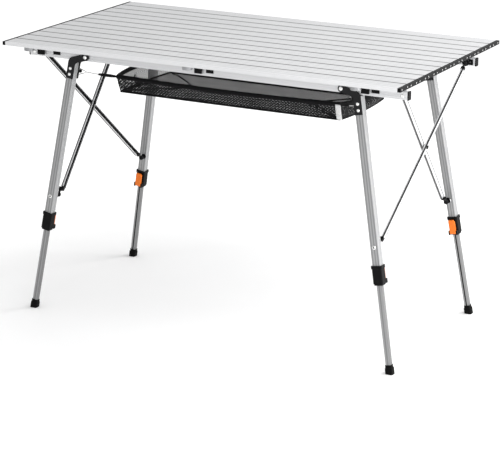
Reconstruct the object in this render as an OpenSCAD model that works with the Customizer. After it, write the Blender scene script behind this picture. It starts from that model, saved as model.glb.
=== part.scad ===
// Roll-top camp kitchen table: a top of hinged aluminium slats that lifts off and rolls up, on a frame
// whose two long rails close together on crossed braces while four telescoping legs fold along them.
// The origin is on the ground under the middle of the top; the long side runs along X.

/* [Top] */
// Length of the slats
top_length = 1200; // [900:10:1400]
// Height of the top surface with the legs fully out
top_height = 788; // [740:2:820]
// Distance from one slat to the next
slat_pitch = 56; // [50:1:60]
// Thickness of a slat
slat_thickness = 10.5; // [10:0.5:16]
// Wall of a slat's extrusion
slat_wall = 1; // [0.8:0.1:2]
// Gap between neighbouring slats
slat_gap = 0.8; // [0.4:0.1:1.5]
// Length of the plastic plug at each end of a slat
slat_plug = 9; // [6:1:14]
// Diameter of the elastic cord that strings the slats together
cord_d = 4; // [3:0.5:5]

/* [Rails] */
// Half the distance between the two rails
rail_y = 228; // [215:1:235]
// Height of the rails' axis above the ground
rail_z = 745; // [740:1:748]
// Length of the aluminium rail
rail_length = 1152; // [1120:2:1160]
// Width of the rail
rail_w = 16.8; // [15:0.2:18]
// Depth of the rail
rail_h = 22; // [18:1:24]
// Wall of the rail's tube
rail_wall = 1.6; // [1.2:0.1:2.5]

/* [Legs] */
// Distance of a leg's fold pivot from the middle of the table
pivot_x = 391; // [370:1:410]
// Outward lean of the legs
leg_lean = 9.8; // [6:0.2:14]
// Splay of the legs towards the table's long sides
leg_splay = 3.5; // [2:0.1:4]
// Skew of the fold pivots, which lets folded legs pass beside each other
fold_skew = 3; // [2.4:0.1:3.2]
// Distance of the leg's axis outboard of its pivot
leg_offset = 42; // [38:1:46]
// Width of the upper leg along the table
upper_w = 24; // [18:0.5:25]
// Width of the upper leg across the table
upper_d = 21; // [21:0.5:23]
// Width of the lower leg along the table
lower_w = 15; // [12:0.5:16]
// Width of the lower leg across the table
lower_d = 14; // [12:0.5:15]
// Wall of the leg tubes
leg_wall = 1.4; // [1:0.1:1.6]
// Distance down the leg at which the brace's free end lies
brace_reach = 422; // [410:1:424]

/* [Braces] */
// Distance of a brace's ball joint from the middle of the table
brace_x = 553; // [545:1:555]
// Distance of the ball joints inboard of the rails' and legs' axes
brace_inset = 25; // [24:1:30]
// Width of a brace
brace_w = 14.5; // [10:0.5:16]
// Depth of a brace
brace_d = 7; // [6:0.5:8]
// Diameter of the balls at a brace's ends
ball_d = 14; // [12:1:20]

/* [Basket] */
// Half length of the basket at its rim
basket_x = 345; // [320:5:350]
// Half width of the basket at its rim
basket_y = 150; // [130:5:160]
// Height of the rim above the ground
basket_rim_z = 679; // [660:1:690]
// Depth of the basket
basket_depth = 42; // [30:1:60]

/* [Hidden] */
$fn = 48;

slat_count = 12;
slat_bottom = top_height - slat_thickness;
top_width = slat_count * slat_pitch;
plug_inset = 0.15;
cord_x = top_length / 2 - 40;

// plates that hold a leg to its rail
plate_t = 2.5;
plate_in = upper_d / 2;
pivot_d = 6;
running_gap = 0.05;
rivet_d = 5;
rivet_drops = [43, 60];
plate_bottom = 72;
plate_edge = leg_offset + 10.2;
arm_fall = 26;
corner_r = 20;
boss_r = 10;
knob_x = leg_offset - 12;
knob_drop = 52;

// heights down the leg, measured along it from the level of its pivot
upper_top = 23;
upper_bottom = 512;
clamp_top = 471;
clamp_bottom = 524;
clamp_w = 28;
clamp_d = 26;
lip_w = 31;
lip_h = 8;
lower_top = 335;
lower_bottom = 752;
foot_top = 740;
foot_w = 18;
foot_d = 17;
foot_flare = 1.5;
lever_drop = 516;
lever_pin_d = 4;
lever_length = 38;
lever_w = 18;
lever_t = 6;
lug_w = 4;
lug_gap = 0.4;
slide_gap = 0.25;

// braces' ball joints on the legs, and how far each brace of a pair lies outboard or inboard of them
ball_shift = 4;
lift_out = 3;
lift_in = 8;
knuckle_w = 9;

// rail furniture
rest_x = 487;
rest_length = 22;
rest_skirt_t = 2;
rest_skirt_h = 13;
rest_gap = 0.3;
bolt_x = 562;
cup_r = 10;
cup_rim = 3;
ball_gap = 0.1;

// turn latches under the end slats
front_latches = [-536, -33, 460];
back_latches = [-460, 536];
latch_pivot_y = top_width / 2 - 36;
latch_lobe_r = 14;
latch_arm_w = 19;
latch_t = 15;
latch_tip_y = rail_y + rail_w / 2 + 3;
latch_lip_t = 5;
latch_lip_w = 22;
latch_lip_z = 740;
latch_gap = 0.3;
latch_pin_d = 6;
latch_pin_depth = 6;

function slat_y(i) = -top_width / 2 + (i - 0.5) * slat_pitch;
function lean_over(p) =
    [p[0] * cos(leg_lean) - p[2] * sin(leg_lean), p[1], p[0] * sin(leg_lean) + p[2] * cos(leg_lean)];
function splay_out(p) =
    [p[0], p[1] * cos(leg_splay) - p[2] * sin(leg_splay), p[1] * sin(leg_splay) + p[2] * cos(leg_splay)];
// position, in the right, back corner, of a point given in the leg's own frame
function leg_point(p) = [pivot_x, rail_y, rail_z] + splay_out(lean_over(p));
brace_y = rail_y - brace_inset;
brace_foot = leg_point([leg_offset - ball_shift, -brace_inset, -brace_reach]);
brace_run = brace_foot[0] - brace_x;
brace_span = brace_foot[1] + brace_y;
brace_fall = brace_foot[2] - rail_z;
brace_length = norm([brace_run, brace_span, brace_fall]);
brace_normal = [-brace_fall, 0, brace_run] / norm([brace_fall, brace_run]);
brace_crossing = brace_length * brace_y / brace_span;
brace_wall = 1.4;

module flip(axis, on) {
    if (on) {
        mirror(axis) children();
    } else {
        children();
    }
}

// puts children drawn for the right, back corner (X outboard, Y outward) at corner side_x, side_y
module corner(side_x, side_y) {
    flip([1, 0, 0], side_x < 0) flip([0, 1, 0], side_y < 0) children();
}

// leg frame: origin on the pivot, X outboard, Y towards the table's outside, Z up along the leg
module leg_frame(side_x, side_y) {
    corner(side_x, side_y) translate([pivot_x, rail_y, rail_z])
        rotate([leg_splay, 0, 0]) rotate([0, -leg_lean, 0]) children();
}

// frame whose Y axis is the skewed axis that the leg folds about
module fold_frame(side_x, side_y) {
    corner(side_x, side_y) translate([pivot_x, rail_y, rail_z])
        rotate([leg_splay, 0, 0]) rotate([0, 0, -fold_skew * side_x * side_y]) children();
}

module rounded_rect(w, h, r) {
    square([w - 2 * r, h], center = true);
    square([w, h - 2 * r], center = true);
    for (sx = [-1, 1], sy = [-1, 1]) translate([sx * (w / 2 - r), sy * (h / 2 - r)]) circle(r);
}

// a cylinder along Y centred on the origin
module cross_pin(d, length) {
    rotate([90, 0, 0]) cylinder(h = length, d = d, center = true);
}

// a domed head on the +Y end of a pin, its flat face at y
module domed_head(d, t, y) {
    translate([0, y, 0]) rotate([-90, 0, 0]) {
        cylinder(h = t * 0.5, d = d);
        translate([0, 0, t * 0.5]) cylinder(h = t * 0.5, d1 = d, d2 = d * 0.6);
    }
}

// ---- top ----

module slat_section() {
    depth = slat_pitch - slat_gap;
    rib_t = 1;
    difference() {
        translate([-depth / 2, 0]) square([depth, slat_thickness]);
        translate([-depth / 2 + slat_wall, slat_wall])
            square([depth - 2 * slat_wall, slat_thickness - 2 * slat_wall]);
        // fine lengthwise grooves in the top face
        for (x = [-14, 0, 14])
            translate([x - 0.5, slat_thickness - 0.35]) square([1, 1]);
    }
    for (x = [-9, 9])
        translate([x - rib_t / 2, slat_wall - 0.2]) square([rib_t, slat_thickness - 2 * slat_wall + 0.4]);
}

module slat_body(i) {
    body_length = top_length - 2 * slat_plug;
    translate([-body_length / 2, slat_y(i), slat_bottom]) rotate([90, 0, 90])
        linear_extrude(body_length) slat_section();
}

// plug with the two eyelets that the elastic cord is threaded through
module slat_end(i, side) {
    depth = slat_pitch - slat_gap;
    difference() {
        translate([
            side > 0 ? top_length / 2 - slat_plug : -top_length / 2,
            slat_y(i) - depth / 2 + plug_inset,
            slat_bottom + plug_inset
        ]) cube([slat_plug, depth - 2 * plug_inset, slat_thickness - 2 * plug_inset]);
        for (step = [-1, 1])
            translate([side * (top_length / 2), slat_y(i) + step * 17, slat_bottom + slat_thickness / 2])
                rotate([0, 90, 0]) cylinder(h = 8, d = 5, center = true);
    }
}

// length of elastic cord held inside a slat
module slat_cord(i, side) {
    translate([side * cord_x, slat_y(i) - slat_pitch / 2 + 2, slat_bottom + slat_thickness / 2])
        rotate([-90, 0, 0]) cylinder(h = 15, d = cord_d);
}

module slat(i) {
    color("#c9cbcc") slat_body(i);
    for (side = [-1, 1]) {
        color("#1a1a1b") slat_end(i, side);
        color("#e8e8e6") slat_cord(i, side);
    }
}

// turn latch, drawn for the back edge: round lobe on its pin, arm towards the rail, lip before the rail's face
module latch(x, side_y) {
    top_z = slat_bottom - latch_gap;
    color("#161617") flip([0, 1, 0], side_y < 0) translate([x, 0, 0]) difference() {
        union() {
            translate([0, latch_pivot_y, top_z - latch_t]) cylinder(h = latch_t, r = latch_lobe_r);
            translate([-latch_arm_w / 2, latch_tip_y, top_z - latch_t * 0.6])
                cube([latch_arm_w, latch_pivot_y - latch_tip_y, latch_t * 0.6]);
            translate([-latch_lip_w / 2, latch_tip_y, latch_lip_z])
                cube([latch_lip_w, latch_lip_t, top_z - latch_lip_z]);
        }
        translate([0, latch_pivot_y, top_z - latch_t - 1])
            cylinder(h = latch_t + 2, d = latch_pin_d + 2 * running_gap);
        translate([0, latch_pivot_y, top_z - latch_t - 1]) cylinder(h = 4, d = 11);
    }
}

// the latch's shoulder screw, which belongs to the slat it is fixed to
module latch_pin(x, side_y) {
    head_t = 2;
    color("#b9bbbd") flip([0, 1, 0], side_y < 0) translate([x, latch_pivot_y, 0]) {
        translate([0, 0, slat_bottom - latch_t])
            cylinder(h = latch_t + latch_pin_depth - running_gap, d = latch_pin_d);
        translate([0, 0, slat_bottom - latch_t]) cylinder(h = head_t, d = 9.5);
    }
}

// solid web that takes the latch's screw inside the end slat
module latch_web(x, side_y) {
    flip([0, 1, 0], side_y < 0) translate([x - 8, latch_pivot_y - 7.5, slat_bottom])
        cube([16, 15, slat_thickness - slat_wall]);
}

module latched_slat(i, places, side_y) {
    difference() {
        union() {
            slat(i);
            color("#c9cbcc") for (x = places) latch_web(x, side_y);
        }
        for (x = places) flip([0, 1, 0], side_y < 0)
            translate([x, latch_pivot_y, slat_bottom - 1])
                cylinder(h = latch_pin_depth + 1, d = latch_pin_d + 2 * running_gap);
    }
    for (x = places) latch_pin(x, side_y);
}

// ---- rails ----

module rail(side_y) {
    color("#cfd1d2") flip([0, 1, 0], side_y < 0) difference() {
        translate([-rail_length / 2, rail_y, rail_z]) rotate([90, 0, 90]) linear_extrude(rail_length)
            difference() {
                rounded_rect(rail_w, rail_h, 2);
                square([rail_w - 2 * rail_wall, rail_h - 2 * rail_wall], center = true);
            }
        for (sx = [-1, 1]) {
            translate([sx * pivot_x, rail_y, rail_z]) rotate([leg_splay, 0, 0])
                rotate([0, 0, -fold_skew * side_y]) cross_pin(pivot_d + 2 * running_gap, rail_w + 4);
            translate([sx * bolt_x, rail_y, rail_z]) cross_pin(5, rail_w + 2);
        }
    }
}

// ball cup on the rail's inner face, drawn for the right, back corner
module ball_cup() {
    face_y = rail_y - rail_w / 2;
    rim_y = brace_y + cup_rim;
    difference() {
        translate([brace_x, face_y, rail_z]) rotate([90, 0, 0]) cylinder(h = face_y - rim_y, r = cup_r);
        translate([brace_x, brace_y, rail_z]) sphere(d = ball_d + 2 * ball_gap);
    }
    translate([brace_x, face_y - 3, rail_z - 8]) cube([bolt_x + 8 - brace_x, 3, 16]);
}

module rail_end_plug() {
    translate([rail_length / 2, rail_y, rail_z]) rotate([90, 0, 90]) {
        linear_extrude(3) rounded_rect(rail_w + 0.6, rail_h + 1, 2.4);
        translate([0, 0, -9]) linear_extrude(9)
            square([rail_w - 2 * rail_wall, rail_h - 2 * rail_wall], center = true);
    }
}

// block that carries the slats on top of the rail, with a skirt over the rail's outer face
module top_rest(x) {
    rail_top = rail_z + rail_h / 2;
    block_h = slat_bottom - rest_gap - rail_top;
    translate([x - rest_length / 2, rail_y - rail_w / 2, rail_top]) cube([rest_length, rail_w, block_h]);
    translate([x - rest_length / 2, rail_y + rail_w / 2, rail_top - rest_skirt_h])
        cube([rest_length, rest_skirt_t, rest_skirt_h + block_h]);
}

module rail_plugs(side_y) {
    color("#151516") flip([0, 1, 0], side_y < 0) {
        for (sx = [-1, 1]) flip([1, 0, 0], sx < 0) difference() {
            union() {
                ball_cup();
                rail_end_plug();
            }
            translate([bolt_x, rail_y - 1.5, rail_z]) cross_pin(5, rail_w + 3);
        }
        for (x = [-rest_x, 0, rest_x]) top_rest(x);
    }
}

module rail_bolts(side_y) {
    outer = rail_y + rail_w / 2;
    inner = rail_y - rail_w / 2 - 3;
    color("#c4c6c8") flip([0, 1, 0], side_y < 0) for (sx = [-1, 1]) translate([sx * bolt_x, 0, rail_z]) {
        translate([0, (outer + inner) / 2, 0]) cross_pin(5, outer - inner);
        domed_head(9, 2.6, outer);
    }
}

// ---- legs ----

// boomerang shape: an arm that falls from the pivot's boss to a rounded corner, then a strip down the leg
module plate_outline(inner_side) {
    strip_w = inner_side ? 25 : 22;
    arm_w = 2 * boss_r - 0.8;
    inboard = plate_edge - strip_w;
    corner_x = plate_edge - corner_r + 0.3;
    corner_drop = (corner_r - arm_w / 2 - 0.3 + sin(arm_fall) * corner_x) / cos(arm_fall);
    arm_length = cos(arm_fall) * corner_x + sin(arm_fall) * corner_drop;
    inner_drop = inboard * tan(arm_fall) + arm_w / 2 / cos(arm_fall);
    fillet_r = 12;
    fillet_x = inboard - fillet_r;
    fillet_y = -inner_drop - fillet_r * (1 - sin(arm_fall)) / cos(arm_fall);
    circle(boss_r);
    rotate(-arm_fall) translate([0, -arm_w / 2]) square([arm_length, arm_w]);
    intersection() {
        translate([corner_x, -corner_drop]) circle(corner_r);
        translate([inboard + 0.1, -corner_drop - 3]) square(2 * corner_r);
    }
    translate([inboard, -plate_bottom]) square([strip_w, plate_bottom - corner_drop]);
    // rounded inside corner between the arm and the strip
    difference() {
        polygon([
            [inboard + 2, -inner_drop + 4],
            [inboard + 2, fillet_y],
            [fillet_x, fillet_y],
            [fillet_x + (fillet_r + 3) * sin(arm_fall), fillet_y + (fillet_r + 3) * cos(arm_fall)]
        ]);
        translate([fillet_x, fillet_y]) circle(fillet_r + 0.2);
    }
}

module plate(y0, inner_side) {
    translate([0, y0 + plate_t, 0]) rotate([90, 0, 0]) linear_extrude(plate_t) plate_outline(inner_side);
}

// the knob on the inner plate that a basket hook goes over
module hook_knob() {
    translate([knob_x, -plate_in - plate_t, -knob_drop]) rotate([90, 0, 0]) {
        cylinder(h = 8, d = 6);
        translate([0, 0, 8]) cylinder(h = 2.5, d = 10);
    }
}

module bracket(side_x, side_y) {
    color("#1c1c1e") {
        difference() {
            leg_frame(side_x, side_y) {
                plate(plate_in, false);
                plate(-plate_in - plate_t, true);
            }
            fold_frame(side_x, side_y) cross_pin(pivot_d, 40);
            leg_frame(side_x, side_y)
                for (d = rivet_drops) translate([leg_offset, 0, -d]) cross_pin(rivet_d, 40);
        }
        leg_frame(side_x, side_y) hook_knob();
    }
}

// short bolt that goes through the upper leg's outer wall only, clear of the lower leg inside
module wall_bolt(head_t) {
    translate([0, plate_in - leg_wall / 2, 0]) cross_pin(rivet_d, leg_wall);
    domed_head(11, head_t, plate_in);
}

// fold pivot bolt, the two rivets through the plates, and the bolts at the brace's height
module leg_pins(side_x, side_y) {
    out = plate_in + plate_t;
    head_gap = 0.3;
    color("#d6d7d8") {
        fold_frame(side_x, side_y) {
            cross_pin(pivot_d, 2 * (out + head_gap));
            domed_head(11, 3.4, out + head_gap);
            mirror([0, 1, 0]) domed_head(10, 4, out + head_gap);
        }
        leg_frame(side_x, side_y) {
            for (d = rivet_drops) translate([leg_offset, 0, -d]) {
                cross_pin(rivet_d, 2 * out);
                domed_head(8.5, 1.8, out);
                mirror([0, 1, 0]) domed_head(8.5, 1.8, out);
            }
            translate([leg_offset, 0, -brace_reach]) {
                difference() {
                    wall_bolt(2.4);
                    translate([0, plate_in + 1.4, 0]) cross_pin(5, 2.4);
                }
                mirror([0, 1, 0]) wall_bolt(1.8);
            }
        }
    }
}

// tube drawn down the leg from drop a to drop b
module along_leg(a, b) {
    translate([leg_offset, 0, -b]) linear_extrude(b - a) children();
}

module tube_section(w, d, r) {
    groove_w = 3.2;
    groove_t = 0.5;
    difference() {
        rounded_rect(w, d, r);
        square([w - 2 * leg_wall, d - 2 * leg_wall], center = true);
        for (side = [-1, 1]) {
            translate([-groove_w / 2, side * d / 2 - groove_t]) square([groove_w, 2 * groove_t]);
            translate([side * w / 2 - groove_t, -groove_w / 2]) square([2 * groove_t, groove_w]);
        }
    }
}

module upper_leg(side_x, side_y) {
    color("#b4b6b8") leg_frame(side_x, side_y) difference() {
        along_leg(upper_top, upper_bottom) tube_section(upper_w, upper_d, 2.5);
        for (d = concat(rivet_drops, [brace_reach])) translate([leg_offset, 0, -d]) cross_pin(rivet_d, 40);
    }
}

// cam clamp: a collar fixed on the upper leg, with a guide for the lower leg and lugs for the lever
module clamp(side_x, side_y) {
    color("#17171a") leg_frame(side_x, side_y) {
        difference() {
            union() {
                along_leg(clamp_top + lip_h, clamp_bottom - 4) rounded_rect(clamp_w, clamp_d, 4);
                along_leg(clamp_top, clamp_top + lip_h) rounded_rect(lip_w, clamp_d + 2, 4);
                along_leg(clamp_bottom - 4, clamp_bottom) rounded_rect(clamp_w - 3, clamp_d - 3, 4);
                for (s = [-1, 1])
                    translate([leg_offset + s * (lever_w / 2 + lug_gap + lug_w / 2), -clamp_d / 2 - 3.5, -lever_drop])
                        cube([lug_w, 9, 12], center = true);
            }
            along_leg(clamp_top - 1, upper_bottom) square([upper_w, upper_d], center = true);
            along_leg(upper_bottom - 1, clamp_bottom + 1)
                square([lower_w + 2 * slide_gap, lower_d + 2 * slide_gap], center = true);
            translate([leg_offset, -clamp_d / 2 - 4.5, -lever_drop]) rotate([0, 90, 0])
                cylinder(h = 60, d = lever_pin_d, center = true);
        }
        translate([leg_offset, -clamp_d / 2 - 4.5, -lever_drop]) rotate([0, 90, 0])
            cylinder(h = lever_w + 2 * (lug_gap + lug_w), d = lever_pin_d, center = true);
    }
}

// orange lever that tightens the clamp; it swings out about the pin at its lower end
module cam_lever(side_x, side_y) {
    hub_r = 4.1;
    color("#e8641b") leg_frame(side_x, side_y) translate([leg_offset, -clamp_d / 2 - 4.5, -lever_drop])
        difference() {
            union() {
                rotate([0, 90, 0]) cylinder(h = lever_w, r = hub_r, center = true);
                translate([-lever_w / 2, -hub_r, 0]) cube([lever_w, lever_t, lever_length - 4]);
                translate([-lever_w / 2 + 1.5, -hub_r - 1.5, lever_length - 9]) cube([lever_w - 3, lever_t, 9]);
            }
            rotate([0, 90, 0]) cylinder(h = 60, d = lever_pin_d + 2 * running_gap, center = true);
        }
}

module lower_section() {
    slot_w = 3.4;
    slot_t = 3;
    difference() {
        rounded_rect(lower_w, lower_d, 1.8);
        difference() {
            square([lower_w - 2 * leg_wall, lower_d - 2 * leg_wall], center = true);
            translate([-slot_w / 2 - leg_wall, -lower_d / 2]) square([slot_w + 2 * leg_wall, slot_t + leg_wall]);
        }
        translate([-slot_w / 2, -lower_d / 2 - 1]) square([slot_w, slot_t + 1]);
    }
}

module lower_leg(side_x, side_y) {
    color("#a9abad") leg_frame(side_x, side_y) along_leg(lower_top, lower_bottom) lower_section();
}

// rubber foot outside the lower leg, cut level with the ground, and the guide plug at the tube's top
module foot(side_x, side_y) {
    guide_w = upper_w - 2 * leg_wall - 2 * slide_gap;
    guide_d = upper_d - 2 * leg_wall - 2 * slide_gap;
    color("#111112") {
        difference() {
            leg_frame(side_x, side_y) {
                along_leg(foot_top, lower_bottom + 30) rounded_rect(foot_w, foot_d, 3);
                along_leg(foot_top + 8, lower_bottom + 30)
                    rounded_rect(foot_w + 2 * foot_flare, foot_d + 2 * foot_flare, 4);
            }
            leg_frame(side_x, side_y) along_leg(foot_top - 1, lower_bottom) rounded_rect(lower_w, lower_d, 1.8);
            translate([-top_length, -top_width, -200]) cube([2 * top_length, 2 * top_width, 200]);
        }
        leg_frame(side_x, side_y) along_leg(lower_top - 12, lower_top)
            square([guide_w, guide_d], center = true);
    }
}

// ---- braces ----

// brace frame at the rail's ball joint, drawn for the right, back rail end and the right, front leg:
// X runs along the brace, Z points outboard and square to both braces of the pair
module brace_frame(side_x, side_y) {
    run = [brace_run, -brace_span, brace_fall] / brace_length;
    n = brace_normal;
    s = cross(n, run);
    corner(side_x, side_y) translate([brace_x, brace_y, rail_z])
        multmatrix([
            [run[0], s[0], n[0], 0],
            [run[1], s[1], n[1], 0],
            [run[2], s[2], n[2], 0],
            [0, 0, 0, 1]
        ]) children();
}

// one brace of each pair lies outboard of the ball joints and the other further inboard, so that they cross
function lift(side_x, side_y) = side_x * side_y > 0 ? lift_out : -lift_in;

module brace(side_x, side_y) {
    wall = brace_wall;
    start = 24;
    z0 = lift(side_x, side_y);
    color("#bfc1c3") brace_frame(side_x, side_y) difference() {
        translate([start, -brace_w / 2, z0 - brace_d / 2]) cube([brace_length - 2 * start, brace_w, brace_d]);
        translate([start - 1, -brace_w / 2 + wall, z0 - brace_d / 2 - 1])
            cube([brace_length - 2 * start + 2, brace_w - 2 * wall, brace_d - wall + 1]);
        translate([brace_crossing, 0, z0]) cylinder(h = 20, d = 4, center = true);
    }
}

// black end pieces with their balls, and this brace's half of the crossing rivet
module knuckles(side_x, side_y) {
    z0 = lift(side_x, side_y);
    color("#141416") brace_frame(side_x, side_y) {
        for (end = [0, 1]) translate([end * brace_length, 0, 0]) flip([1, 0, 0], end > 0) {
            sphere(d = ball_d);
            rotate([0, 90, 0]) cylinder(h = 18, d = 6);
            translate([14, -knuckle_w / 2, min(z0, 0) - 3.4]) cube([10, knuckle_w, abs(z0) + 6.8]);
            translate([24, -brace_w / 2 + 1.5, z0 - brace_d / 2 + 0.2])
                cube([16, brace_w - 3, brace_d - brace_wall - 0.2]);
        }
        translate([brace_crossing, 0, z0 + (z0 > 0 ? brace_d / 2 : -brace_d / 2)])
            flip([0, 0, 1], z0 < 0) cylinder(h = 2, d = 10);
    }
}

// ---- basket ----

// net basket: an open tray with sloping ends, and the elastic loops and wire hooks at its corners
module basket() {
    wall = 2;
    floor_x = basket_x - 12;
    floor_y = basket_y - 14;
    z0 = basket_rim_z - basket_depth;
    color("#2b2c2e") difference() {
        hull() {
            translate([-basket_x, -basket_y, basket_rim_z - 2]) cube([2 * basket_x, 2 * basket_y, 2]);
            translate([-floor_x, -floor_y, z0]) cube([2 * floor_x, 2 * floor_y, 2]);
        }
        hull() {
            translate([-basket_x + wall, -basket_y + wall, basket_rim_z - 1])
                cube([2 * (basket_x - wall), 2 * (basket_y - wall), 2]);
            translate([-floor_x + wall, -floor_y + wall, z0 + wall])
                cube([2 * (floor_x - wall), 2 * (floor_y - wall), 2]);
        }
    }
    color("#101011") for (sx = [-1, 1], sy = [-1, 1]) corner(sx, sy) basket_hanger();
}

// elastic and hook from the basket's corner to the knob on the leg's inner plate
module basket_hanger() {
    from = [basket_x + 2.6, basket_y + 2, basket_rim_z - 3];
    knob = leg_point([knob_x, -plate_in - plate_t - 5, -knob_drop]);
    span = knob - from;
    length = norm(span);
    translate(from) rotate([0, 0, atan2(span[1], span[0])]) rotate([0, -asin(span[2] / length), 0])
        rotate([0, 90, 0]) cylinder(h = length - 9, d = 4);
}

latched_slat(1, front_latches, -1);  // slat_01
slat(2);  // slat_02
slat(3);  // slat_03
slat(4);  // slat_04
slat(5);  // slat_05
slat(6);  // slat_06
slat(7);  // slat_07
slat(8);  // slat_08
slat(9);  // slat_09
slat(10);  // slat_10
slat(11);  // slat_11
latched_slat(12, back_latches, 1);  // slat_12
rail(-1);  // front_rail
rail(1);  // back_rail
rail_plugs(-1);  // front_rail_plugs
rail_plugs(1);  // back_rail_plugs
rail_bolts(-1);  // front_rail_bolts
rail_bolts(1);  // back_rail_bolts
bracket(-1, -1);  // bracket_front_left
bracket(1, -1);  // bracket_front_right
bracket(-1, 1);  // bracket_back_left
bracket(1, 1);  // bracket_back_right
leg_pins(-1, -1);  // leg_pins_front_left
leg_pins(1, -1);  // leg_pins_front_right
leg_pins(-1, 1);  // leg_pins_back_left
leg_pins(1, 1);  // leg_pins_back_right
upper_leg(-1, -1);  // upper_leg_front_left
upper_leg(1, -1);  // upper_leg_front_right
upper_leg(-1, 1);  // upper_leg_back_left
upper_leg(1, 1);  // upper_leg_back_right
clamp(-1, -1);  // clamp_front_left
clamp(1, -1);  // clamp_front_right
clamp(-1, 1);  // clamp_back_left
clamp(1, 1);  // clamp_back_right
cam_lever(-1, -1);  // cam_lever_front_left
cam_lever(1, -1);  // cam_lever_front_right
cam_lever(-1, 1);  // cam_lever_back_left
cam_lever(1, 1);  // cam_lever_back_right
lower_leg(-1, -1);  // lower_leg_front_left
lower_leg(1, -1);  // lower_leg_front_right
lower_leg(-1, 1);  // lower_leg_back_left
lower_leg(1, 1);  // lower_leg_back_right
foot(-1, -1);  // foot_front_left
foot(1, -1);  // foot_front_right
foot(-1, 1);  // foot_back_left
foot(1, 1);  // foot_back_right
brace(-1, -1);  // brace_front_left
brace(1, -1);  // brace_front_right
brace(-1, 1);  // brace_back_left
brace(1, 1);  // brace_back_right
knuckles(-1, -1);  // knuckles_front_left
knuckles(1, -1);  // knuckles_front_right
knuckles(-1, 1);  // knuckles_back_left
knuckles(1, 1);  // knuckles_back_right
latch(front_latches[0], -1);  // latch_front_left
latch(front_latches[1], -1);  // latch_front_middle
latch(front_latches[2], -1);  // latch_front_right
latch(back_latches[0], 1);  // latch_back_left
latch(back_latches[1], 1);  // latch_back_right
basket();
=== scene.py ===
import math
import random

import bmesh
import bpy
from mathutils import Matrix, Vector


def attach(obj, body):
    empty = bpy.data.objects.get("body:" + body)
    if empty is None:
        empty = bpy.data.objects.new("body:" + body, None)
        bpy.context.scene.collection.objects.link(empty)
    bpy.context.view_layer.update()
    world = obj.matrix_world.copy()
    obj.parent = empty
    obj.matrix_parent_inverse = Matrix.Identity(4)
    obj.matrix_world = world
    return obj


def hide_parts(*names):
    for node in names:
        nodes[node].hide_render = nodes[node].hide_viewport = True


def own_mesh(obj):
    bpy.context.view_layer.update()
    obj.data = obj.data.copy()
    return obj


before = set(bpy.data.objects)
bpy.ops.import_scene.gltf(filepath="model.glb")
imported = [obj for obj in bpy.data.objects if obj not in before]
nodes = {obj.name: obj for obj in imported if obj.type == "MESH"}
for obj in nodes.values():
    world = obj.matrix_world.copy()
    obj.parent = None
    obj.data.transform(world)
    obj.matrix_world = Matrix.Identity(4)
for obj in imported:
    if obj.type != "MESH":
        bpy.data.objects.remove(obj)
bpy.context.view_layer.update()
CORNERS = [("front", "left"), ("front", "right"), ("back", "left"), ("back", "right")]


# ---------------------------------------------------------------- camera

CAMERA_PLACE = (2.5895, -4.8617, 1.9391)
CAMERA_YAW, CAMERA_PITCH, CAMERA_ROLL = 0.48997, 0.30015, 0.00233
FOCAL_WIDTHS = 2025.6 / 500
SENSOR_WIDTH = 36


def camera():
    """Camera at the photograph's viewing angle; the focal length is in picture widths."""
    yaw, pitch, roll = CAMERA_YAW, CAMERA_PITCH, CAMERA_ROLL
    fwd = Vector((-math.sin(yaw) * math.cos(pitch), math.cos(yaw) * math.cos(pitch), -math.sin(pitch)))
    right = fwd.cross(Vector((0, 0, 1))).normalized()
    up = right.cross(fwd)
    data = bpy.data.cameras.new("view")
    data.sensor_width = SENSOR_WIDTH
    data.lens = FOCAL_WIDTHS * SENSOR_WIDTH
    data.clip_end = 200
    obj = bpy.data.objects.new("view", data)
    bpy.context.collection.objects.link(obj)
    m = Matrix.Identity(4)
    m.col[0].xyz = right * math.cos(roll) + up * math.sin(roll)
    m.col[1].xyz = up * math.cos(roll) - right * math.sin(roll)
    m.col[2].xyz = -fwd
    m.col[3].xyz = CAMERA_PLACE
    obj.matrix_world = m
    bpy.context.scene.camera = obj


camera()


# ---------------------------------------------------------------- sizes

# the table's main sizes, as in the frame, in metres
TOP_Z = 0.788
PITCH = 0.056
SLATS = 12
HALF_WIDTH = SLATS / 2 * PITCH
SLAT_THICK = 0.0105
SLAT_METAL_X = 0.591
SLAT_END_X = 0.5985
EYELET_STEP = 0.017
RAIL_Y = 0.228
RAIL_Z = 0.745
PIVOT_X = 0.391
LEAN = math.radians(9.8)
SPLAY = math.radians(3.5)
LEG_OFF = 0.042
UPPER_D = 0.021
BRACE_REACH = 0.422
BRACE_X = 0.553
BRACE_INSET = 0.025
BRACE_W = 0.0145
BRACE_D = 0.007
BRACE_WALL = 0.0014
BRACE_EDGE = 0.0028
BRACE_END = 0.041
LATCH_BOSS_Y = 0.284
BALL_SHIFT = 0.004
LIFT_OUT, LIFT_IN = 0.003, 0.008

# how metallic the satin aluminium looks, and the noise scales that draw its die lines
SLAT_METALLIC = 0.35
LEG_METALLIC = 0.3
ALONG_X = (2.5, 700, 700)
ALONG_Z = (700, 700, 2.5)
BLACK = (0.0035, 0.0035, 0.004)
SLOT_HALF = 0.0019

# net: angle of its threads, distance between them, and the length of a wave texture's band at scale 1
NET_TURN = 0.9
NET_CELL = 0.0062
WAVE_LENGTH = 0.31415


# ---------------------------------------------------------------- places on the frame

def signs(fy, fx):
    """Signs of X and Y at a corner."""
    return -1 if fx == "left" else 1, -1 if fy == "front" else 1


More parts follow.
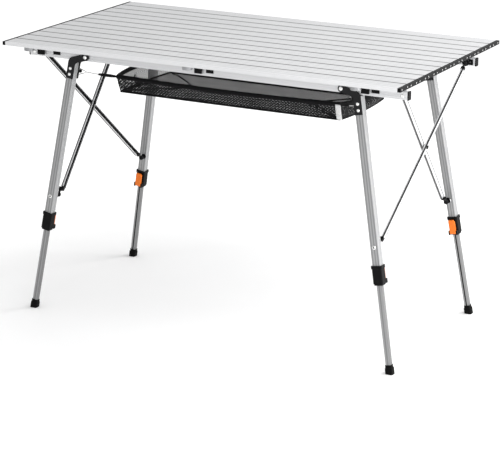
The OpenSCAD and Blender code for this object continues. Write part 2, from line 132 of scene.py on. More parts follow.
def leg_point(fy, fx, p):
    """A point of the leg's own frame (outboard, outward, up), in the row frame."""
    x = p[0] * math.cos(LEAN) - p[2] * math.sin(LEAN)
    z = p[0] * math.sin(LEAN) + p[2] * math.cos(LEAN)
    y = p[1] * math.cos(SPLAY) - z * math.sin(SPLAY)
    z2 = p[1] * math.sin(SPLAY) + z * math.cos(SPLAY)
    sx, sy = signs(fy, fx)
    return Vector((sx * (PIVOT_X + x), sy * (RAIL_Y + y), RAIL_Z + z2))


def brace_axes(fy, fx):
    """Ball at the rail, ball at the leg, and the brace's run, side and outboard directions."""
    sx, sy = signs(fy, fx)
    other = "back" if fy == "front" else "front"
    rail_ball = Vector((sx * BRACE_X, sy * (RAIL_Y - BRACE_INSET), RAIL_Z))
    leg_ball = leg_point(other, fx, (LEG_OFF - BALL_SHIFT, -BRACE_INSET, -BRACE_REACH))
    run = (leg_ball - rail_ball).normalized()
    outboard = Vector((abs(run.z) * sx, 0, run.x * sx)).normalized()
    outboard = (outboard - run * outboard.dot(run)).normalized()
    return rail_ball, leg_ball, run, outboard.cross(run).normalized(), outboard


def brace_lift(fy, fx):
    """How far a brace's outer face stands outboard of its line; the two of a pair pass each other."""
    return LIFT_OUT if (fy == "front") == (fx == "left") else -LIFT_IN


# ---------------------------------------------------------------- materials

def new_material(name):
    m = bpy.data.materials.new(name)
    m.use_nodes = True
    nt = m.node_tree
    return m, nt, nt.nodes["Principled BSDF"]


def coords(nt, kind="Object"):
    return nt.nodes.new("ShaderNodeTexCoord").outputs[kind]


def stretched_coords(nt, scale):
    mp = nt.nodes.new("ShaderNodeMapping")
    mp.inputs["Scale"].default_value = scale
    nt.links.new(coords(nt), mp.inputs["Vector"])
    return mp.outputs["Vector"]


def distance_from_middle(nt, axis):
    """Distance of a surface point from the plane X = 0 or Y = 0."""
    sep = nt.nodes.new("ShaderNodeSeparateXYZ")
    nt.links.new(coords(nt), sep.inputs[0])
    return calc(nt, "ABSOLUTE", sep.outputs[axis])


def noise(nt, vector, scale=1.0, detail=4.0, rough=0.6):
    n = nt.nodes.new("ShaderNodeTexNoise")
    n.inputs["Scale"].default_value = scale
    n.inputs["Detail"].default_value = detail
    n.inputs["Roughness"].default_value = rough
    nt.links.new(vector, n.inputs["Vector"])
    return n.outputs["Fac"]


def ramp(nt, fac, stops):
    r = nt.nodes.new("ShaderNodeValToRGB")
    el = r.color_ramp.elements
    el[0].position, el[0].color = stops[0][0], (*stops[0][1], 1)
    el[1].position, el[1].color = stops[-1][0], (*stops[-1][1], 1)
    for p, c in stops[1:-1]:
        e = el.new(p)
        e.color = (*c, 1)
    nt.links.new(fac, r.inputs["Fac"])
    return r.outputs["Color"]


def mapped(nt, value, start, end, low, high):
    """Values from start to end become low to high, and stay there beyond."""
    r = nt.nodes.new("ShaderNodeMapRange")
    for key, v in (("From Min", start), ("From Max", end), ("To Min", low), ("To Max", high)):
        r.inputs[key].default_value = v
    nt.links.new(value, r.inputs["Value"])
    return r.outputs["Result"]


def calc(nt, operation, *values):
    n = nt.nodes.new("ShaderNodeMath")
    n.operation = operation
    for socket, v in zip(n.inputs, values):
        if isinstance(v, (int, float)):
            socket.default_value = v
        else:
            nt.links.new(v, socket)
    return n.outputs[0]


def blended(nt, fac, a, b, mode="MIX"):
    """Colour a mixed with b; fac and b are a number, a colour or a socket."""
    n = nt.nodes.new("ShaderNodeMix")
    n.data_type = "RGBA"
    n.blend_type = mode
    for socket, v in ((n.inputs[0], fac), (n.inputs[6], a), (n.inputs[7], b)):
        if isinstance(v, (int, float)):
            socket.default_value = v
        elif isinstance(v, tuple):
            socket.default_value = (*v, 1)
        else:
            nt.links.new(v, socket)
    return n.outputs[2]


def bump(nt, bsdf, height, strength, distance):
    b = nt.nodes.new("ShaderNodeBump")
    b.inputs["Strength"].default_value = strength
    b.inputs["Distance"].default_value = distance
    nt.links.new(height, b.inputs["Height"])
    nt.links.new(b.outputs["Normal"], bsdf.inputs["Normal"])


def aluminium(name, tone, grain, rough=0.36, metallic=0.9, contrast=0.06):
    """Anodised extrusion: fine die lines along its length, cloudy roughness, faint handling marks."""
    m, nt, bsdf = new_material(name)
    lines = noise(nt, stretched_coords(nt, grain), 1.0, 3.0, 0.65)
    clouds = noise(nt, stretched_coords(nt, (9, 9, 9)), 1.0, 5.0, 0.6)
    low = tuple(c * (1 - contrast) for c in tone)
    high = tuple(min(1.0, c * (1 + contrast)) for c in tone)
    base = ramp(nt, lines, [(0.3, low), (0.5, tone), (0.72, high)])
    tint = ramp(nt, clouds, [(0.3, (0.965, 0.967, 0.972)), (0.65, (1, 1, 1))])
    nt.links.new(blended(nt, 1.0, base, tint, "MULTIPLY"), bsdf.inputs["Base Color"])
    bsdf.inputs["Metallic"].default_value = metallic
    nt.links.new(mapped(nt, clouds, 0, 1, rough - 0.06, rough + 0.08), bsdf.inputs["Roughness"])
    bump(nt, bsdf, lines, 0.25, 0.0002)
    return m


def along(nt, origin, direction):
    """Distance of a surface point from origin, measured along direction."""
    dot = nt.nodes.new("ShaderNodeVectorMath")
    dot.operation = "DOT_PRODUCT"
    nt.links.new(coords(nt), dot.inputs[0])
    dot.inputs[1].default_value = direction
    return calc(nt, "SUBTRACT", dot.outputs["Value"], origin.dot(direction))


def shade_base(nt, shade):
    """Multiply a material's base colour by shade."""
    bsdf = nt.nodes["Principled BSDF"]
    metal = bsdf.inputs["Base Color"].links[0].from_socket
    nt.links.new(blended(nt, 1.0, metal, shade, "MULTIPLY"), bsdf.inputs["Base Color"])


def leg_finish(part, fy, fx, tone, pitch, slot_depth=None):
    """Leg extrusion whose fine ribs down its faces are drawn as stripes of painted shade and painted
    highlight, and whose lower leg's inner slot is darkened with painted shade.
    """
    cool = (tone, tone * 1.005, tone * 1.015)
    m = aluminium(f"{part}_satin_{fy}_{fx}", cool, ALONG_Z, 0.4, LEG_METALLIC, 0.05)
    nt = m.node_tree
    axis = leg_point(fy, fx, (LEG_OFF, 0, 0))
    across = (leg_point(fy, fx, (LEG_OFF + 1, 0, 0)) - axis).normalized()
    outward = (leg_point(fy, fx, (LEG_OFF, 1, 0)) - axis).normalized()
    offset = calc(nt, "ABSOLUTE", along(nt, axis, across))
    # painted shade and painted highlight: stripes across the leg, darker and lighter than its tone, stand
    # in for the light on its fine ribs
    shade_base(nt, mapped(nt, calc(nt, "PINGPONG", offset, pitch), pitch * 0.15, pitch * 0.8, 0.66, 1.12))
    # painted shade: the deep part of a lower leg's inner slot is darkened almost to black
    if slot_depth:
        narrow = calc(nt, "LESS_THAN", offset, SLOT_HALF)
        deep = calc(nt, "LESS_THAN", along(nt, axis, outward), -slot_depth)
        shade_base(nt, mapped(nt, calc(nt, "MULTIPLY", narrow, deep), 0, 1, 1.0, 0.03))
    return m


def brace_finish(fy, fx):
    """Brace channel with painted shade along both edges of its outer face, standing in for its side walls
    in shade.
    """
    m = aluminium(f"brace_satin_{fy}_{fx}", (0.62, 0.623, 0.63), (300, 300, 60), 0.38, LEG_METALLIC, 0.05)
    nt = m.node_tree
    rail_ball, _, _, side, outboard = brace_axes(fy, fx)
    offset = calc(nt, "ABSOLUTE", along(nt, rail_ball, side))
    # painted shade: a dark band along each edge of the brace's outer face
    edge = calc(nt, "GREATER_THAN", offset, BRACE_W / 2 - BRACE_EDGE)
    outer = calc(nt, "GREATER_THAN", along(nt, rail_ball, outboard), brace_lift(fy, fx) - 0.0005)
    shade_base(nt, mapped(nt, calc(nt, "MULTIPLY", edge, outer), 0, 1, 1.0, 0.05))
    return m


def slat_finish(name, tone):
    """Slat extrusion, by position: painted shade along the seams between slats and in shallow die grooves,
    and black end plugs.
    """
    m = aluminium(name, tone, ALONG_X, 0.38, SLAT_METALLIC, 0.05)
    nt = m.node_tree
    bsdf = nt.nodes["Principled BSDF"]
    across = distance_from_middle(nt, "Y")
    # painted shade: dark bands along the seams between slats and fainter ones along the die grooves, none
    # at the top's outer edges
    seam = mapped(nt, calc(nt, "PINGPONG", across, PITCH / 2), 0.0020, 0.0046, 0.12, 1.0)
    groove = mapped(nt, calc(nt, "PINGPONG", across, PITCH / 8), 0.0006, 0.0018, 0.72, 1.0)
    rim = calc(nt, "GREATER_THAN", across, HALF_WIDTH - 0.0045)
    shade = calc(nt, "MAXIMUM", calc(nt, "MULTIPLY", seam, groove), rim)
    plug = calc(nt, "GREATER_THAN", distance_from_middle(nt, "X"), SLAT_METAL_X)
    shade_base(nt, shade)
    shaded = bsdf.inputs["Base Color"].links[0].from_socket
    nt.links.new(blended(nt, plug, shaded, (0.004, 0.004, 0.0045)), bsdf.inputs["Base Color"])
    nt.links.new(mapped(nt, plug, 0, 1, SLAT_METALLIC, 0.0), bsdf.inputs["Metallic"])
    bsdf.inputs["Specular IOR Level"].default_value = 0.08
    return m


def plastic(name, tone, rough=0.5, grain=900.0, strength=0.25, spread=0.35, gloss=0.25):
    """Moulded plastic or paint: fine spark-eroded grain and slightly rubbed colour."""
    m, nt, bsdf = new_material(name)
    fine = noise(nt, stretched_coords(nt, (grain, grain, grain)), 1.0, 2.0, 0.5)
    rubbed = noise(nt, stretched_coords(nt, (60, 60, 60)), 1.0, 5.0, 0.65)
    low = tuple(c * (1 - spread * 0.5) for c in tone)
    high = tuple(min(1.0, c * (1 + spread) + 0.004) for c in tone)
    col = ramp(nt, rubbed, [(0.32, low), (0.55, tone), (0.78, high)])
    nt.links.new(col, bsdf.inputs["Base Color"])
    nt.links.new(mapped(nt, rubbed, 0, 1, rough - 0.07, rough + 0.1), bsdf.inputs["Roughness"])
    bsdf.inputs["Specular IOR Level"].default_value = gloss
    bump(nt, bsdf, fine, strength, 0.00012)
    return m


def thread_finish(nt, bsdf, thread, tone, fade, glow, low, high, sheen, rough):
    """Dull textile colour that follows the thread noise."""
    dark = tuple(c * fade for c in tone)
    light = tuple(min(1, c * glow) for c in tone)
    nt.links.new(ramp(nt, thread, [(low, dark), (high, light)]), bsdf.inputs["Base Color"])
    bsdf.inputs["Roughness"].default_value = rough
    bsdf.inputs["Sheen Weight"].default_value = sheen
    bsdf.inputs["Specular IOR Level"].default_value = 0.1


def net_fabric(name, hole):
    """Knitted net: two crossing sets of threads that leave open cells."""
    m, nt, bsdf = new_material(name)
    uv = coords(nt, "UV")
    threads = []
    for angle in (NET_TURN, -NET_TURN):
        mp = nt.nodes.new("ShaderNodeMapping")
        mp.inputs["Rotation"].default_value = (0, 0, angle)
        nt.links.new(uv, mp.inputs["Vector"])
        w = nt.nodes.new("ShaderNodeTexWave")
        w.wave_type = "BANDS"
        w.bands_direction = "X"
        w.wave_profile = "SIN"
        w.inputs["Scale"].default_value = WAVE_LENGTH / NET_CELL
        w.inputs["Distortion"].default_value = 0.0
        nt.links.new(mp.outputs["Vector"], w.inputs["Vector"])
        threads.append(w.outputs["Fac"])
    weave = calc(nt, "MAXIMUM", *threads)
    nt.links.new(calc(nt, "GREATER_THAN", weave, hole), bsdf.inputs["Alpha"])
    fuzz = noise(nt, stretched_coords(nt, (300, 300, 300)), 1.0, 3.0, 0.6)
    thread_finish(nt, bsdf, fuzz, (0.006, 0.006, 0.0065), 0.6, 1.5, 0.3, 0.7, 0.03, 0.75)
    bump(nt, bsdf, weave, 0.4, 0.0004)
    return m


def latch_finish(name):
    """Black arm and lip; the round boss on the slat's screw is satin metal."""
    m = plastic(name, BLACK, 0.45, gloss=0.08)
    nt = m.node_tree
    bsdf = nt.nodes["Principled BSDF"]
    boss = calc(nt, "GREATER_THAN", distance_from_middle(nt, "Y"), LATCH_BOSS_Y)
    nylon = bsdf.inputs["Base Color"].links[0].from_socket
    nt.links.new(blended(nt, boss, nylon, (0.30, 0.303, 0.31)), bsdf.inputs["Base Color"])
    nt.links.new(mapped(nt, boss, 0, 1, 0.0, 0.6), bsdf.inputs["Metallic"])
    return m


def webbing(name, tone, ribs=1400.0):
    """Woven tape and elastic: fine ribs across it and a soft sheen."""
    m, nt, bsdf = new_material(name)
    rib = noise(nt, stretched_coords(nt, (ribs, ribs, ribs)), 1.0, 2.0, 0.5)
    thread_finish(nt, bsdf, rib, tone, 0.6, 1.3, 0.35, 0.65, 0.04, 0.8)
    bump(nt, bsdf, rib, 0.5, 0.0003)
    return m


M_SLAT = slat_finish("slat_satin", (0.655, 0.658, 0.665))
M_RAIL = aluminium("rail_satin", (0.60, 0.603, 0.61), ALONG_X, 0.38, 0.35, 0.04)
M_STEEL = aluminium("zinc_steel", (0.80, 0.80, 0.79), (400, 400, 400), 0.24, 0.9, 0.05)
M_PAINT = plastic("charcoal_paint", (0.012, 0.012, 0.013), 0.45, 1500, 0.12, 0.25, gloss=0.12)
M_BLACK = plastic("black_nylon", BLACK, 0.45, gloss=0.08)
M_ORANGE = plastic("orange_nylon", (0.78, 0.17, 0.012), 0.4, 900, 0.2, 0.12, gloss=0.3)
M_RUBBER = plastic("foot_rubber", (0.003, 0.003, 0.003), 0.6, 500, 0.5, gloss=0.08)
M_NET = net_fabric("tray_net", 0.52)
M_NET_DOUBLE = net_fabric("tray_net_doubled", 0.24)
M_LEG = {}
for fy, fx in CORNERS:
    M_LEG["upper_leg", fy, fx] = leg_finish("upper_leg", fy, fx, 0.31, 0.0038)
    M_LEG["lower_leg", fy, fx] = leg_finish("lower_leg", fy, fx, 0.26, 0.0040, 0.0036)
    M_LEG["brace", fy, fx] = brace_finish(fy, fx)
M_WIRE = aluminium("hook_wire", (0.22, 0.22, 0.22), (400, 400, 400), 0.3, 0.9, 0.05)
M_LATCH = latch_finish("latch_nylon")
M_TAPE = webbing("binding_tape", (0.003, 0.003, 0.0035))
M_CORD = webbing("pale_cord", (0.55, 0.55, 0.55), 2500)
M_LABEL = webbing("pale_tape", (0.62, 0.62, 0.62), 900)


def paint(obj, mat):
    if not obj.material_slots:
        obj.data.materials.append(mat)
    for s in obj.material_slots:
        s.material = mat


def soften(obj, width):
    """Weld a node's mesh and round its sharp edges."""
    w = obj.modifiers.new("weld", "WELD")
    w.merge_threshold = 1e-6
    b = obj.modifiers.new("edge_radius", "BEVEL")
    b.width = width
    b.segments = 2
    b.limit_method = "ANGLE"
    b.angle_limit = math.radians(32)
    b.harden_normals = False
    n = obj.modifiers.new("normals", "WEIGHTED_NORMAL")
    n.keep_sharp = True


def node_style(name):
    """Material and edge radius of a carried-over node."""
    for part in ("upper_leg", "lower_leg", "brace"):
        if name.startswith(part + "_"):
            return M_LEG[(part, *name.split("_")[-2:])], 0.0003
    for start, mat, edge in (
        ("slat", M_SLAT, 0.00035), ("bracket", M_PAINT, 0.0005), ("leg_pins", M_STEEL, 0.0002),
        ("clamp", M_BLACK, 0.0007), ("cam_lever", M_ORANGE, 0.0008), ("foot", M_RUBBER, 0.0008),
        ("knuckles", M_BLACK, 0.0004), ("latch", M_LATCH, 0.0008),
    ):
        if name.startswith(start):
            return mat, edge
    if name.endswith("_rail"):
        return M_RAIL, 0.0003
    if name.endswith("_bolts"):
        return M_STEEL, 0.0002
    return M_BLACK, 0.0006


for name, obj in nodes.items():
    paint(obj, node_style(name)[0])


# ---------------------------------------------------------------- mesh helpers

def finish_mesh(name, bm, mats, smooth=True):
    """Make an object of bm, with one material or a list of them."""
    bmesh.ops.recalc_face_normals(bm, faces=bm.faces)
    me = bpy.data.meshes.new(name)
    bm.to_mesh(me)
    bm.free()
    if smooth:
        me.polygons.foreach_set("use_smooth", [True] * len(me.polygons))
        me.set_sharp_from_angle(angle=math.radians(40))
    obj = bpy.data.objects.new(name, me)
    bpy.context.collection.objects.link(obj)
    for m in (mats if isinstance(mats, (list, tuple)) else [mats]):
        me.materials.append(m)
    return obj


def add_tube(bm, pts, radius, sides=10, closed=False, flat=1.0):
    """A tube along pts; radius is a number or one per point."""
    pts = [Vector(p) for p in pts]
    n = len(pts)
    rings = []
    up = Vector((0.013, 0.027, 1.0)).normalized()
    for i, p in enumerate(pts):
        if closed:
            d = pts[(i + 1) % n] - pts[i - 1]
        else:
            d = pts[min(i + 1, n - 1)] - pts[max(i - 1, 0)]
        d.normalize()
        side = d.cross(up)
        if side.length < 1e-3:
            side = d.cross(Vector((1, 0, 0)))
        side.normalize()
        over = side.cross(d).normalized()
        r = radius[i] if isinstance(radius, (list, tuple)) else radius
        rings.append([bm.verts.new(p + side * (math.cos(a) * r) + over * (math.sin(a) * r * flat))
                      for a in (2 * math.pi * k / sides for k in range(sides))])
    for i in range(n if closed else n - 1):
        a, b = rings[i], rings[(i + 1) % n]
        for k in range(sides):
            bm.faces.new((a[k], a[(k + 1) % sides], b[(k + 1) % sides], b[k]))
    if not closed:
        bm.faces.new(list(reversed(rings[0])))
        bm.faces.new(rings[-1])


def add_strip(bm, rows):
    """Faces between rows of points, each row as long as the next."""
    rows = [[bm.verts.new(p) for p in row] for row in rows]
    for a, b in zip(rows, rows[1:]):
        for k in range(len(a) - 1):
            bm.faces.new((a[k], a[k + 1], b[k + 1], b[k]))


def add_lathe(bm, profile, origin, axis, sides):
    """A turned solid: profile is (distance along axis, radius) pairs."""
    axis = Vector(axis).normalized()
    u = axis.orthogonal().normalized()
    v = axis.cross(u)
    origin = Vector(origin)
    rings = []
    for h, r in profile:
        if r < 1e-7:
            rings.append([bm.verts.new(origin + axis * h)])
        else:
            rings.append([bm.verts.new(origin + axis * h + (u * math.cos(a) + v * math.sin(a)) * r)
                          for a in (2 * math.pi * k / sides for k in range(sides))])
    for a, b in zip(rings, rings[1:]):
        for k in range(sides):
            k2 = (k + 1) % sides
            if len(a) == 1:
                bm.faces.new((a[0], b[k2], b[k]))
            elif len(b) == 1:
                bm.faces.new((a[k], a[k2], b[0]))
            else:
                bm.faces.new((a[k], a[k2], b[k2], b[k]))


# ---------------------------------------------------------------- slat eyelets

EYELET = [(-0.002, 0.0), (-0.002, 0.0014), (0.0002, 0.0016), (0.0011, 0.0022), (0.0012, 0.0028),
          (0.0006, 0.0032), (-0.002, 0.0029)]


def slat_eyelets(i):
    """The four rims round the holes in a slat's ends, where the elastic cords pass."""
    bm = bmesh.new()
    y = -HALF_WIDTH + (i - 0.5) * PITCH
    for side in (-1, 1):
        for step in (-EYELET_STEP, EYELET_STEP):
            add_lathe(bm, EYELET, (side * SLAT_END_X, y + step, TOP_Z - SLAT_THICK / 2), (side, 0, 0), 16)
    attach(finish_mesh(f"slat_eyelets_{i:02d}", bm, M_STEEL), f"top_slat_{i:02d}")


for i in range(1, SLATS + 1):
    slat_eyelets(i)


# ---------------------------------------------------------------- brace sockets on the legs

SEAT_AND_STUD = [(0, 0), (0, 0.0078), (0.0012, 0.0080), (0.0024, 0.0074), (0.0028, 0.0062),
                 (0.0024, 0.0046), (0.0022, 0.0034), (0.0060, 0.0027), (0.0098, 0.0024), (0.0108, 0.0)]
BOLT_HEAD = [(0.0, 0.0), (0.0, 0.0024), (0.0004, 0.0024), (0.0004, 0.0)]


def brace_socket(fy, fx):
    """Seat and stud that carry a brace's ball on the leg's inner face, and the bolt's hexagon outside."""
    bm = bmesh.new()
    drop = -BRACE_REACH
    face = leg_point(fy, fx, (LEG_OFF - BALL_SHIFT, -UPPER_D / 2, drop))
    inward = leg_point(fy, fx, (LEG_OFF, -1, drop)) - leg_point(fy, fx, (LEG_OFF, 0, drop))
    add_lathe(bm, SEAT_AND_STUD, face, inward, 28)
    out = leg_point(fy, fx, (LEG_OFF, UPPER_D / 2 + 0.0012, drop))
    add_lathe(bm, BOLT_HEAD, out, -inward, 6)
    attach(finish_mesh(f"brace_socket_{fy}_{fx}", bm, M_BLACK), f"leg_{fy}_{fx}")


def brace_channel_shadow(fy, fx):
    """Black strip in the open channel of a brace: a painted shadow that stands in for the shade inside the
    channel.
    """
    rail_ball, leg_ball, run, side, outboard = brace_axes(fy, fx)
    length = (leg_ball - rail_ball).length
    height = brace_lift(fy, fx) + BRACE_D / 2 - BRACE_WALL - 0.0005
    half = BRACE_W / 2 - BRACE_WALL - 0.0003
    steps = 48
    rows = []
    for k in range(steps + 1):
        c = rail_ball + run * (BRACE_END + (length - 2 * BRACE_END) * k / steps) + outboard * height
        across = (-1, -0.5, 0, 0.5, 1)
        rows.append([c + side * (half * u) - outboard * (0.0006 * abs(u) ** 3) for u in across])
    bm = bmesh.new()
    add_strip(bm, rows)
    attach(finish_mesh(f"brace_channel_shadow_{fy}_{fx}", bm, M_BLACK), f"strut_{fy}_{fx}")


for fy, fx in CORNERS:
    brace_socket(fy, fx)
    brace_channel_shadow(fy, fx)


# ---------------------------------------------------------------- net basket

RIM_X, RIM_Y, RIM_Z = 0.345, 0.150, 0.679
FLOOR_X, FLOOR_Y, FLOOR_Z = 0.341, 0.138, 0.635
END_BULGE = 0.030
FLOOR_BULGE = 0.3 * END_BULGE
WALL_DEPTH = 0.043
RIPPLE = 0.0016
RIM_R, PIPING_R, CORNER_R, GUSSET_R = 0.0050, 0.0030, 0.0018, 0.0020
TAB_X, TAB_HALF, TAB_THICK = 0.341, 0.0078, 0.0011
CORD_D = 0.0025
HOOK_REACH = 0.020
HOOK_HALF = 0.0100
WIRE_R = 0.0011


def edge_point(t, half_x, half_y, z, bow, pinch, side_sag, end_sag):
    """Point on a loop for t from 0 to 4, one side each: ends bow out, long sides pinch in, all sag."""
    k, f = int(t) % 4, t % 1
    sag = math.sin(math.pi * f)
    if k % 2 == 0:
        x, y, drop = -half_x + 2 * half_x * f, -half_y + pinch * sag, side_sag * sag
    else:
        x, y, drop = half_x + bow * sag, -half_y + 2 * half_y * f, end_sag * sag
    turn = 1 if k < 2 else -1
    return Vector((turn * x, turn * y, z - drop))


def rim_point(t):
    return edge_point(t, RIM_X, RIM_Y, RIM_Z, END_BULGE, 0.006, 0.007, 0.004)


def floor_point(t):
    return edge_point(t, FLOOR_X, FLOOR_Y, FLOOR_Z, FLOOR_BULGE, 0, 0.001, 0.001)


def bowed(a, b, lift, steps):
    """Points from a to b, moved by lift halfway."""
    return [a.lerp(b, k / steps) + lift * math.sin(math.pi * k / steps) for k in range(steps + 1)]


def add_net(bm, uv, point, nu, nv, lu, lv, mat):
    """A fine grid over point(a, b), laid out as lu by lv metres in the UV map."""
    vs = [[bm.verts.new(point(a / nu, b / nv)) for b in range(nv + 1)] for a in range(nu + 1)]
    for a in range(nu):
        for b in range(nv):
            f = bm.faces.new((vs[a][b], vs[a + 1][b], vs[a + 1][b + 1], vs[a][b + 1]))
            f.material_index = mat
            for loop, (ia, ib) in zip(f.loops, ((a, b), (a + 1, b), (a + 1, b + 1), (a, b + 1))):
                loop[uv].uv = (ia / nu * lu, ib / nv * lv)


def wall_surface(k, phases):
    """Wall k, which leans in towards the floor, bellies out and ripples a little."""
    out = (Vector((0, -1, 0)), Vector((1, 0, 0)), Vector((0, 1, 0)), Vector((-1, 0, 0)))[k]
    fullness, waves = ((0.004, 9), (0.010, 4))[k % 2]

    def point(a, b):
        t = k + a * 0.99999
        middle = math.sin(math.pi * b)
        belly = middle * fullness * (0.4 + 0.6 * math.sin(math.pi * a))
        ripple = math.sin(waves * 2.1 * a + phases[0]) * 0.6
        ripple += math.sin(waves * 3.7 * a + phases[1] + 2 * b) * 0.4
        return rim_point(t).lerp(floor_point(t), b) + out * (belly + RIPPLE * ripple * middle)
    return point


def floor_surface(a, b):
    """The net floor, with a shallow dip and faint waves that fade towards its edges."""
    y = -FLOOR_Y + 2 * FLOOR_Y * b
    x = (-FLOOR_X + 2 * FLOOR_X * a) * (1 + FLOOR_BULGE / FLOOR_X * math.sin(math.pi * b))
    edge = min(min(a, 1 - a) * 2 * FLOOR_X, min(b, 1 - b) * 2 * FLOOR_Y)
    dip = 0.0035 * min(1.0, edge / 0.08)
    wave = 0.0009 * math.sin(17 * a + 5 * b) * min(1.0, edge / 0.05)
    return Vector((x, y, FLOOR_Z - dip + wave))


def make_net():
    """Four walls and a floor; the front and left walls are open net, the rest is closer."""
    rng = random.Random(7)
    bm = bmesh.new()
    uv = bm.loops.layers.uv.new("UVMap")
    for k in range(4):
        phases = [rng.uniform(0, 6.28) for _ in range(4)]
        cells, length = ((72, 2 * RIM_X), (32, 2 * RIM_Y))[k % 2]
        add_net(bm, uv, wall_surface(k, phases), cells, 10, length, WALL_DEPTH, 0 if k in (0, 3) else 1)
    add_net(bm, uv, floor_surface, 70, 28, 2 * FLOOR_X, 2 * FLOOR_Y, 1)
    bmesh.ops.remove_doubles(bm, verts=bm.verts, dist=1e-5)
    return finish_mesh("basket_net", bm, [M_NET, M_NET_DOUBLE])


def make_binding():
    """Binding round the rim, piping round the floor and up the corners, gusset seams and a loop's stub."""
    bm = bmesh.new()
    steps = [k + f / 24 for k in range(4) for f in range(24)]
    add_tube(bm, [rim_point(t) for t in steps], RIM_R, 10, closed=True, flat=1.3)
    add_tube(bm, [floor_point(t) for t in steps], PIPING_R, 8, closed=True)
    for k in range(4):
        add_tube(bm, [rim_point(k).lerp(floor_point(k), f / 6) for f in range(7)], CORNER_R, 8)
    for sx in (-1, 1):
        for sy in (-1, 1):
            corner = Vector((sx * FLOOR_X, sy * FLOOR_Y, FLOOR_Z))
            on_rim = Vector((sx * (RIM_X - 0.105), sy * (RIM_Y - 0.002), RIM_Z - 0.006))
            on_floor = Vector((sx * (FLOOR_X - 0.16), 0, FLOOR_Z - 0.002))
            add_tube(bm, bowed(corner, on_rim, Vector((0, sy * 0.003, 0)), 12), GUSSET_R, 6)
            add_tube(bm, bowed(corner, on_floor, Vector((0, 0, 0.0035)), 12), GUSSET_R, 6)
    loop = rim_point(0.08)
    stub = [loop + Vector(p) for p in ((0, 0, 0.002), (0.001, 0, 0.009), (0.002, 0, 0.013))]
    add_tube(bm, stub, [0.0022, 0.0024, 0.0016], 8)
    return finish_mesh("basket_binding", bm, M_TAPE)


def make_tab():
    """Pale tape tab on the front wall."""
    rows = []
    for j in range(9):
        p = rim_point(0.99).lerp(floor_point(0.99), j / 8)
        y = p.y - 0.0046 - 0.0012 * math.sin(math.pi * j / 8)
        rows.append([Vector((TAB_X + s * TAB_HALF, y, p.z)) for s in (-1, -0.4, 0.4, 1)])
    bm = bmesh.new()
    add_strip(bm, rows)
    tab = finish_mesh("basket_tab", bm, M_LABEL)
    s = tab.modifiers.new("thickness", "SOLIDIFY")
    s.thickness = TAB_THICK
    s.offset = 0
    bpy.context.view_layer.objects.active = tab
    tab.select_set(True)
    bpy.ops.object.modifier_apply(modifier="thickness")
    tab.select_set(False)
    return tab


def tube_piece(name, mat, *args, **options):
    bm = bmesh.new()
    add_tube(bm, *args, **options)
    return finish_mesh(name, bm, mat)


def make_hanger(fy, fx):
    """An elastic with a thick cover over its start, and a wire triangle over the bracket's knob."""
    sx, sy = signs(fy, fx)
    start = Vector((sx * (RIM_X + 0.002), sy * (RIM_Y + 0.001), RIM_Z))
    knob = leg_point(fy, fx, (LEG_OFF - 0.012, -UPPER_D / 2 - 0.0075, -0.052))
    d = (knob - start).normalized()
    end = knob - d * HOOK_REACH
    route = bowed(start, end, Vector((0, 0, -0.0012)), 18)
    elastic = tube_piece(f"hanger_elastic_{fy}_{fx}", M_CORD, route, CORD_D / 2, 12)
    cover = [route[0].lerp(route[11], k / 12) for k in range(13)]
    thick = [0.0024 + 0.0021 * math.sin(math.pi * k / 12) ** 0.6 for k in range(13)]
    sleeve = tube_piece(f"hanger_cover_{fy}_{fx}", M_TAPE, cover, thick, 14)
    up = Vector((0, 0, HOOK_HALF))
    far = knob + d * 0.0035
    middle = end.lerp(far, 0.5)
    triangle = [end - d * 0.001, middle + up * 0.55, far + up,
                far + d * 0.001, far - up, middle - up * 0.55]
    wire = tube_piece(f"hanger_hook_{fy}_{fx}", M_WIRE, triangle, WIRE_R, 8, closed=True)
    return elastic, route, [sleeve, wire]


def build_basket():
    net = make_net()
    made = [net, make_binding(), make_tab()]
    hangers = [make_hanger(fy, fx) for fy, fx in CORNERS]
    for elastic, _, parts in hangers:
        made += [elastic, *parts]
    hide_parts("basket")
    for obj in made:
        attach(obj, "front_rail")
        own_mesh(obj)
    return net


net = build_basket()

for name, obj in nodes.items():
    if name != "basket":
        soften(obj, node_style(name)[1])


# ---------------------------------------------------------------- floor and lights

STUDIO_HALF = 30.0
FLOOR_DROP = -0.0004


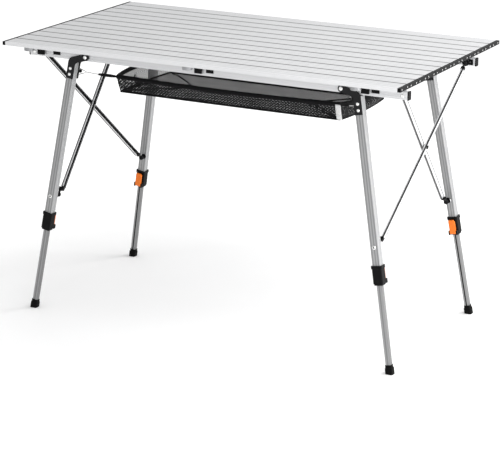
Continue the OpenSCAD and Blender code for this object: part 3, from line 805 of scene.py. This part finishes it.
def floor():
    """Pale floor just under the feet; a painted glow makes it brighter away from the table, so that it
    ends in white.
    """
    bm = bmesh.new()
    cells = 12
    places = [STUDIO_HALF * (2 * k / cells - 1) for k in range(cells + 1)]
    add_strip(bm, [[(x, y, FLOOR_DROP) for y in places] for x in places])
    m, nt, bsdf = new_material("studio_floor")
    clouds = noise(nt, stretched_coords(nt, (2, 2, 2)), 1.0, 2.0, 0.5)
    pale = ramp(nt, clouds, [(0.3, (0.87, 0.87, 0.87)), (0.7, (0.89, 0.89, 0.89))])
    nt.links.new(pale, bsdf.inputs["Base Color"])
    bsdf.inputs["Roughness"].default_value = 0.9
    bsdf.inputs["Specular IOR Level"].default_value = 0.1
    far = nt.nodes.new("ShaderNodeVectorMath")
    far.operation = "LENGTH"
    nt.links.new(coords(nt), far.inputs[0])
    # painted light: the floor glows, from none near the table to strong farther out
    bsdf.inputs["Emission Color"].default_value = (1, 1, 1, 1)
    nt.links.new(mapped(nt, far.outputs["Value"], 0.6, 1.9, 0.0, 0.45), bsdf.inputs["Emission Strength"])
    obj = finish_mesh("studio_floor", bm, m, smooth=False)


floor()


def area_light(name, place, target, size, energy):
    data = bpy.data.lights.new(name, "AREA")
    data.shape = "RECTANGLE"
    data.size, data.size_y = size
    data.energy = energy
    obj = bpy.data.objects.new(name, data)
    bpy.context.collection.objects.link(obj)
    obj.location = place
    obj.visible_camera = False
    obj.rotation_euler = (Vector(target) - Vector(place)).to_track_quat("-Z", "Y").to_euler()
    return obj


area_light("overhead", (-0.6, -0.8, 4.5), (0, 0, 0), (4.0, 4.0), 10)
area_light("front_top", (0.5, -0.6, 2.2), (0.3, -0.2, 0.75), (1.2, 1.2), 12)
area_light("key_right", (1.75, -0.15, 0.75), (0.4, -0.1, 0.5), (1.3, 1.3), 17)
area_light("front_right", (1.3, -2.0, 0.9), (0.5, -0.2, 0.6), (1.0, 1.0), 10)
area_light("back_right", (1.5, 1.4, 1.7), (0.35, 0.1, 0.75), (1.6, 1.2), 42)

world = bpy.data.worlds.new("studio")
bpy.context.scene.world = world
world.use_nodes = True
world.node_tree.nodes["Background"].inputs["Color"].default_value = (1, 1, 1, 1)
world.node_tree.nodes["Background"].inputs["Strength"].default_value = 0.72
bpy.context.scene.view_settings.view_transform = "Standard"
